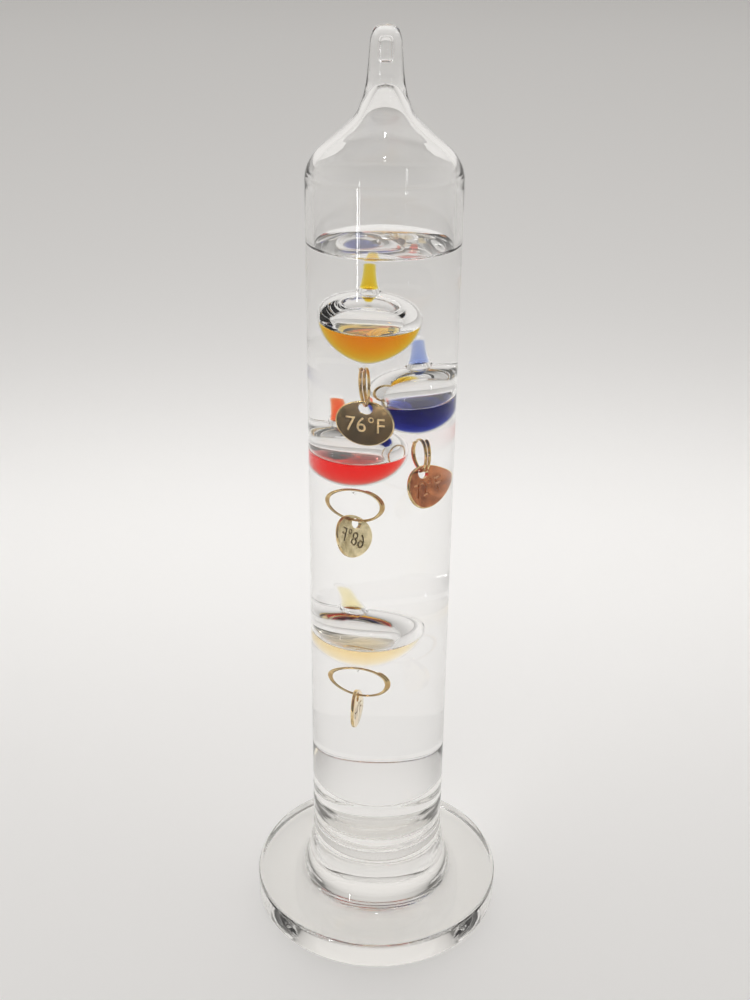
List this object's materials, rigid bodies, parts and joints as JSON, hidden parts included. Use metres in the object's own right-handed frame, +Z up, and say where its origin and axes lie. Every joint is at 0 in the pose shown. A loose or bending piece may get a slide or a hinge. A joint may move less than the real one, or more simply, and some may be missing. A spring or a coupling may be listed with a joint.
{
  "type": "galileo thermometer",
  "caption": "Sealed glass tube of clear liquid on a round glass foot, with coloured glass floats that rise and sink as the room cools and warms, each carrying a numbered brass tag.",
  "frame": {"origin": "centre of the foot's flat underside", "axes": "+Z up along the tube's axis, -Y towards the front, +X to the right as seen from the front"},
  "size_m": [0.081, 0.081, 0.28],
  "materials": {
    "clear_glass": "polished",
    "clear_liquid": "polished",
    "float_glass": "polished",
    "amber_dye": "polished",
    "blue_dye": "polished",
    "red_dye": "polished",
    "straw_dye": "polished",
    "ring_brass": "polished",
    "amber_tag_brass": "satin",
    "blue_tag_brass": "satin",
    "red_tag_brass": "satin",
    "straw_tag_brass": "satin"
  },
  "bodies": {
    "root": {"base_foot": "clear_glass", "glass_tube": "clear_glass", "sealed_tip": "clear_glass", "clear_liquid": "clear_liquid"},
    "amber_float": {"amber_float_bulb": "float_glass", "amber_stem_seal": "float_glass", "amber_dye_pool": "amber_dye", "amber_stem_dye": "amber_dye"},
    "amber_ring": {"amber_split_ring": "ring_brass"},
    "amber_tag": {"amber_tag_76": "amber_tag_brass"},
    "blue_float": {"blue_float_bulb": "float_glass", "blue_stem_seal": "float_glass", "blue_dye_pool": "blue_dye", "blue_stem_dye": "blue_dye"},
    "blue_ring": {"blue_split_ring": "ring_brass"},
    "blue_tag": {"blue_tag_72": "blue_tag_brass"},
    "red_float": {"red_float_bulb": "float_glass", "red_stem_seal": "float_glass", "red_dye_pool": "red_dye", "red_stem_dye": "red_dye"},
    "red_ring": {"red_split_ring": "ring_brass"},
    "red_tag": {"red_tag_68": "red_tag_brass"},
    "straw_float": {"straw_float_bulb": "float_glass", "straw_stem_seal": "float_glass", "straw_dye_pool": "straw_dye", "straw_stem_dye": "straw_dye"},
    "straw_ring": {"straw_split_ring": "ring_brass"},
    "straw_tag": {"straw_tag_64": "straw_tag_brass"}
  },
  "joints": [
    {"name": "straw_float_rise", "type": "slide", "parent": "root", "child": "straw_float", "axis": [0, 0, 1], "range_m": [-0.017, 0.012]},
    {"name": "straw_ring_swing", "type": "hinge", "parent": "straw_float", "child": "straw_ring", "pos_m": [-0.00299, 0.0062, 0.08842], "axis": [0.3746, 0.9272, 0], "range_deg": [-25, 20]},
    {"name": "straw_tag_swing", "type": "hinge", "parent": "straw_ring", "child": "straw_tag", "pos_m": [-0.00379, 0.00653, 0.07945], "axis": [0.9272, -0.3746, 0], "range_deg": [-30, 30]},
    {"name": "red_float_rise", "type": "slide", "parent": "root", "child": "red_float", "axis": [0, 0, 1], "range_m": [-0.014, 0.009]},
    {"name": "red_ring_swing", "type": "hinge", "parent": "red_float", "child": "red_ring", "pos_m": [-0.00439, 0.0044, 0.15065], "axis": [0.342, 0.9397, 0], "range_deg": [-25, 20]},
    {"name": "red_tag_swing", "type": "hinge", "parent": "red_ring", "child": "red_tag", "pos_m": [-0.00439, 0.0044, 0.1416], "axis": [0.9397, -0.342, 0], "range_deg": [-30, 30]},
    {"name": "blue_float_rise", "type": "slide", "parent": "red_float", "child": "blue_float", "axis": [0, 0, 1], "range_m": [0, 0.01]},
    {"name": "blue_ring_swing", "type": "hinge", "parent": "blue_float", "child": "blue_ring", "pos_m": [0.00752, 0.0022, 0.16703], "axis": [0.8988, 0.4384, 0], "range_deg": [-25, 5]},
    {"name": "blue_tag_swing", "type": "hinge", "parent": "blue_ring", "child": "blue_tag", "pos_m": [0.00734, 0.00258, 0.1582], "axis": [0.4384, -0.8988, 0], "range_deg": [-30, 30]},
    {"name": "amber_float_rise", "type": "slide", "parent": "blue_float", "child": "amber_float", "axis": [0, 0, 1], "range_m": [-0.0007, 0.009]},
    {"name": "amber_ring_swing", "type": "hinge", "parent": "amber_float", "child": "amber_ring", "pos_m": [-0.0035, -0.0058, 0.1906], "axis": [-0.9976, -0.0698, 0], "range_deg": [-2, 22]},
    {"name": "amber_tag_swing", "type": "hinge", "parent": "amber_ring", "child": "amber_tag", "pos_m": [-0.0035, -0.0058, 0.18075], "axis": [0.0698, -0.9976, 0], "range_deg": [-30, 25]}
  ]
}
